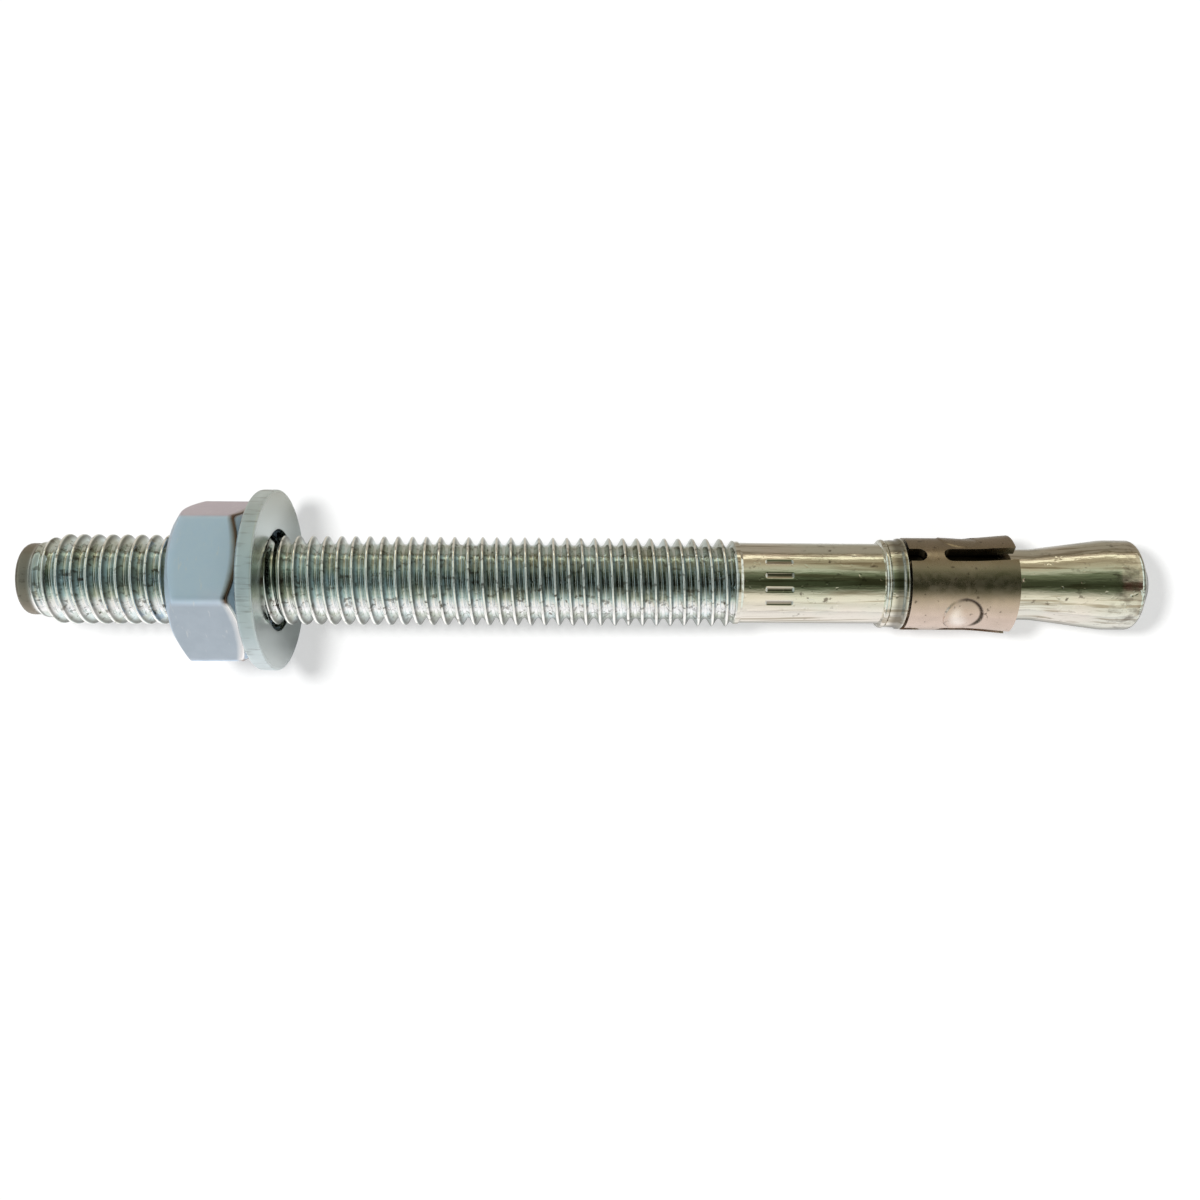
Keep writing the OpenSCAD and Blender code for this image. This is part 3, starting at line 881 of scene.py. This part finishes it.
# The flats facing the front, which take the painted shade
paint(nutPiece, "lower", lambda points, radius, angle, station:
      ease((angle - 0.27) / 0.06) * ease((1.3 - angle) / 0.06) * onFlat(radius, angle))
paint(washerPiece, "rim", lambda points, *others: ease((washerPlace(points) - 7.88) / 0.08))
paint(washerPiece, "shiny", lambda points, *others: 1 - ease((washerPlace(points) - 5.6) / 1.0))
paint(clipPiece, "padShadeAndHighlight", lambda points, radius, angle, station: padShadeAndHighlight(angle, station))
# Painted shade: 1 on the clip's inside, fading out across the slot walls, and none towards the front
paint(clipPiece, "cut", lambda points, radius, angle, station: (1 - ease((radius - 3.3) / 0.7))
      * (1 - ease((angle - 0.6) / 0.2)))
# Painted light towards the front of the clip
paint(clipPiece, "frontLit", lambda points, radius, angle, station: ease((angle - 0.05) / 0.75))
studFinish()
nutFinish()
washerFinish()
clipFinish()
print("finishes set")


# Floor, light and camera

studio = {
    "floorColour": 0.5,
    # added in reflections: metres from the bolt towards the back, the glow there
    "floorStops": [
        (-0.010, (0.62, 0.60, 0.60)),
        (-0.006, (0.12, 0.12, 0.12)),
        (0.005, (0.30, 0.30, 0.29)),
        (0.009, (0.10, 0.06, 0.00)),
    ],
    "behindColour": 0.36,  # the floor in reflections, behind the bolt
    "behindReach": (-0.012, 0.012),  # metres along the bolt over which that darkness comes in
    "lampPower": 0.194,
    "lampPlace": (-0.0514, 0.0138, 0.15),
    "lampSize": 0.03,
    "lampShare": 0.82,  # light of the lamp on the floor right below it
    "skyFill": 0.2,  # lights the floor only
    "endStops": [  # towards both ends: sine of the angle from straight up, and the colour there
        (0.66, (0.95, 1.05, 1.03)),
        (0.84, (0.80, 0.90, 0.88)),
        (0.92, (0.16, 0.18, 0.17)),
        (1.00, (0.16, 0.18, 0.17)),
    ],
    "leftColour": (0.48, 0.58, 0.62),
    "rightStops": [  # far to the right, by degrees across the bolt
        (-90, (0.62, 0.55, 0.42)),
        (-40, (0.72, 0.66, 0.50)),
        (-12, (0.55, 0.48, 0.40)),
        (-5, (0.11, 0.05, 0.04)),
        (10, (0.11, 0.05, 0.04)),
        (22, (0.58, 0.52, 0.42)),
        (90, (0.90, 0.84, 0.76)),
    ],
    # what the metal sees across the bolt: degrees from straight up, towards the front, and the colour there
    "acrossStops": [
        (-90, (0.54, 0.45, 0.34)),
        (-83, (0.56, 0.47, 0.35)),
        (-81, (1.25, 1.18, 0.90)),
        (-76, (1.25, 1.18, 0.90)),
        (-73, (0.46, 0.40, 0.27)),
        (-62, (0.36, 0.31, 0.21)),
        (-52, (0.49, 0.45, 0.32)),
        (-38, (0.52, 0.55, 0.42)),
        (-27, (0.17, 0.20, 0.12)),
        (-8, (0.045, 0.055, 0.028)),
        (8, (0.045, 0.055, 0.028)),
        (18, (0.15, 0.17, 0.11)),
        (40, (0.87, 0.84, 0.71)),
        (54, (0.98, 0.95, 0.84)),
        (64, (0.82, 0.80, 0.73)),
        (90, (1.05, 1.02, 1.00)),
    ],
}


def rampOver(nodes, links, share, stops):
    # Colours along a number from 0 to 1
    ramp = nodes.new("ShaderNodeValToRGB")
    links.new(share, ramp.inputs["Fac"])
    elements = ramp.color_ramp.elements
    for k, (position, colour) in enumerate(stops):
        element = elements[k] if k < 2 else elements.new(position)
        element.position = position
        element.color = (*colour, 1)
    return ramp.outputs["Color"]


def skyShader():
    # The world: white to the camera, an even fill for the floor, and for the metal a band from the back over
    # the top to the front, by the angle across the bolt, which gives way to other colours towards the ends
    world = bpy.data.worlds.new("studio")
    bpy.context.scene.world = world
    world.use_nodes = True
    nodes, links = world.node_tree.nodes, world.node_tree.links
    nodes.clear()
    place = nodes.new("ShaderNodeTexCoord")
    parts = nodes.new("ShaderNodeSeparateXYZ")
    links.new(place.outputs["Generated"], parts.inputs[0])
    forward = nodes.new("ShaderNodeMath")
    forward.operation = "MULTIPLY"
    forward.inputs[1].default_value = -1
    links.new(parts.outputs["Y"], forward.inputs[0])
    across = nodes.new("ShaderNodeMath")
    across.operation = "ARCTAN2"
    links.new(forward.outputs[0], across.inputs[0])
    links.new(parts.outputs["Z"], across.inputs[1])
    share = spread(nodes, links, across.outputs[0], -math.pi / 2, math.pi / 2, 0, 1)
    seen = rampOver(nodes, links, share, [(degrees / 180 + 0.5, colour) for degrees, colour in studio["acrossStops"]])
    left = spread(nodes, links, parts.outputs["X"], -0.02, -0.30, 0, 0.7)
    seen = mixColour(nodes, links, left, seen, studio["leftColour"])
    right = spread(nodes, links, parts.outputs["X"], 0.43, 0.47, 0, 0.85)
    seen = mixColour(nodes, links, right, seen, rampOver(nodes, links, share, [
        (degrees / 180 + 0.5, colour) for degrees, colour in studio["rightStops"]]))
    sideways = nodes.new("ShaderNodeMath")
    sideways.operation = "ABSOLUTE"
    links.new(parts.outputs["X"], sideways.inputs[0])
    ends = spread(nodes, links, sideways.outputs[0], 0.58, 0.64, 0, 1)
    seen = mixColour(nodes, links, ends, seen, rampOver(nodes, links, sideways.outputs[0], studio["endStops"]))
    objectSky = nodes.new("ShaderNodeBackground")
    links.new(seen, objectSky.inputs["Color"])
    path = nodes.new("ShaderNodeLightPath")
    fill = studio["skyFill"]
    fillSky = nodes.new("ShaderNodeBackground")
    fillSky.inputs["Color"].default_value = (fill, fill, fill, 1)
    whiteSky = nodes.new("ShaderNodeBackground")
    whiteSky.inputs["Color"].default_value = (1, 1, 1, 1)
    sky = objectSky.outputs[0]
    for ray, other in (("Is Diffuse Ray", fillSky), ("Is Camera Ray", whiteSky)):
        mix = nodes.new("ShaderNodeMixShader")
        links.new(path.outputs[ray], mix.inputs[0])
        links.new(sky, mix.inputs[1])
        links.new(other.outputs[0], mix.inputs[2])
        sky = mix.outputs[0]
    output = nodes.new("ShaderNodeOutputWorld")
    links.new(sky, output.inputs["Surface"])


def evenFloor(nodes, links, place):
    # Floor colour that rises as the lamp's light falls off with (1 + (distance / height)^2)^2, and the glow that
    # fills the lit floor up to white where the camera sees it
    x, y, height = studio["lampPlace"]
    away = nodes.new("ShaderNodeVectorMath")
    away.operation = "DISTANCE"
    links.new(place, away.inputs[0])
    away.inputs[1].default_value = (x, y, 0)
    ratio = times(nodes, links, away.outputs["Value"], 1 / height)
    squared = times(nodes, links, ratio, ratio)

    def chain(value, steps):
        for operation, number in steps:
            node = nodes.new("ShaderNodeMath")
            node.operation = operation
            links.new(value, node.inputs[0])
            node.inputs[1].default_value = number
            value = node.outputs[0]
        return value

    light = chain(squared, [("ADD", 1.0), ("POWER", -2.0), ("MULTIPLY", studio["lampShare"]),
                            ("ADD", studio["skyFill"])])
    target = studio["floorColour"] * (studio["skyFill"] + studio["lampShare"])
    colour = chain(light, [("POWER", -1.0), ("MULTIPLY", target), ("MINIMUM", 0.95)])
    rest = chain(times(nodes, links, light, colour), [("MULTIPLY", -1.0), ("ADD", 1.0)])
    return colour, rest


def makeFloor():
    size = 3.0  # metres
    mesh = bpy.data.meshes.new("floor")
    corners = [(-size, -size, 0), (size, -size, 0), (size, size, 0), (-size, size, 0)]
    mesh.from_pydata(corners, [], [[0, 1, 2, 3]])
    floor = bpy.data.objects.new("floor", mesh)
    bpy.context.scene.collection.objects.link(floor)
    material = bpy.data.materials.new("whiteTable")
    material.use_nodes = True
    nodes, links = material.node_tree.nodes, material.node_tree.links
    shader = nodes["Principled BSDF"]
    shader.inputs["Roughness"].default_value = 0.9
    shader.inputs["Specular IOR Level"].default_value = 0.0
    place = nodes.new("ShaderNodeTexCoord")
    parts = nodes.new("ShaderNodeSeparateXYZ")
    links.new(place.outputs["Object"], parts.inputs[0])
    reach = 0.02
    mirrored = rampOver(nodes, links, spread(nodes, links, parts.outputs["Y"], -reach, reach, 0, 1),
                        [(y / reach / 2 + 0.5, colour) for y, colour in studio["floorStops"]])
    path = nodes.new("ShaderNodeLightPath")
    glossy = path.outputs["Is Glossy Ray"]
    grey = (studio["floorColour"],) * 3
    behindShare = nodes.new("ShaderNodeMath")
    behindShare.operation = "MULTIPLY"
    links.new(spread(nodes, links, parts.outputs["Y"], 0.005, 0.009, 0, 1), behindShare.inputs[0])
    links.new(spread(nodes, links, parts.outputs["X"], *studio["behindReach"], 0.25, 1), behindShare.inputs[1])
    behind = mixColour(nodes, links, behindShare.outputs[0], grey, (studio["behindColour"],) * 3)
    grey, rest = evenFloor(nodes, links, place.outputs["Object"])
    links.new(mixColour(nodes, links, glossy, grey, behind), shader.inputs["Base Color"])
    glow = mixColour(nodes, links, glossy, (0.0, 0.0, 0.0), mirrored)
    glow = mixColour(nodes, links, path.outputs["Is Camera Ray"], glow, rest)
    links.new(glow, shader.inputs["Emission Color"])
    shader.inputs["Emission Strength"].default_value = 1
    mesh.materials.append(material)


def addLamp():
    data = bpy.data.lights.new("softbox", "AREA")
    data.shape = "DISK"
    data.size = studio["lampSize"]
    data.energy = studio["lampPower"]
    lamp = bpy.data.objects.new("softbox", data)
    lamp.location = studio["lampPlace"]
    lamp.visible_glossy = False
    bpy.context.scene.collection.objects.link(lamp)


camera = {
    "place": (0.00428, -0.0016, 0.1145),  # metres
    "roll": 0.30,  # degrees
    "lens": 36.0,
    "sensor": 36.0,
    "shift": (-0.0358, 0.0),
}


def addCamera():
    data = bpy.data.cameras.new("camera")
    data.lens = camera["lens"]
    data.sensor_width = camera["sensor"]
    data.shift_x, data.shift_y = camera["shift"]
    data.clip_start = 0.005
    data.clip_end = 20
    eye = bpy.data.objects.new("camera", data)
    eye.location = camera["place"]
    eye.rotation_euler = (0, 0, math.radians(camera["roll"]))
    bpy.context.scene.collection.objects.link(eye)
    bpy.context.scene.camera = eye


skyShader()
makeFloor()
addLamp()
addCamera()
bpy.context.scene.view_settings.view_transform = "Standard"
print("studio set")

bpy.context.view_layer.update()
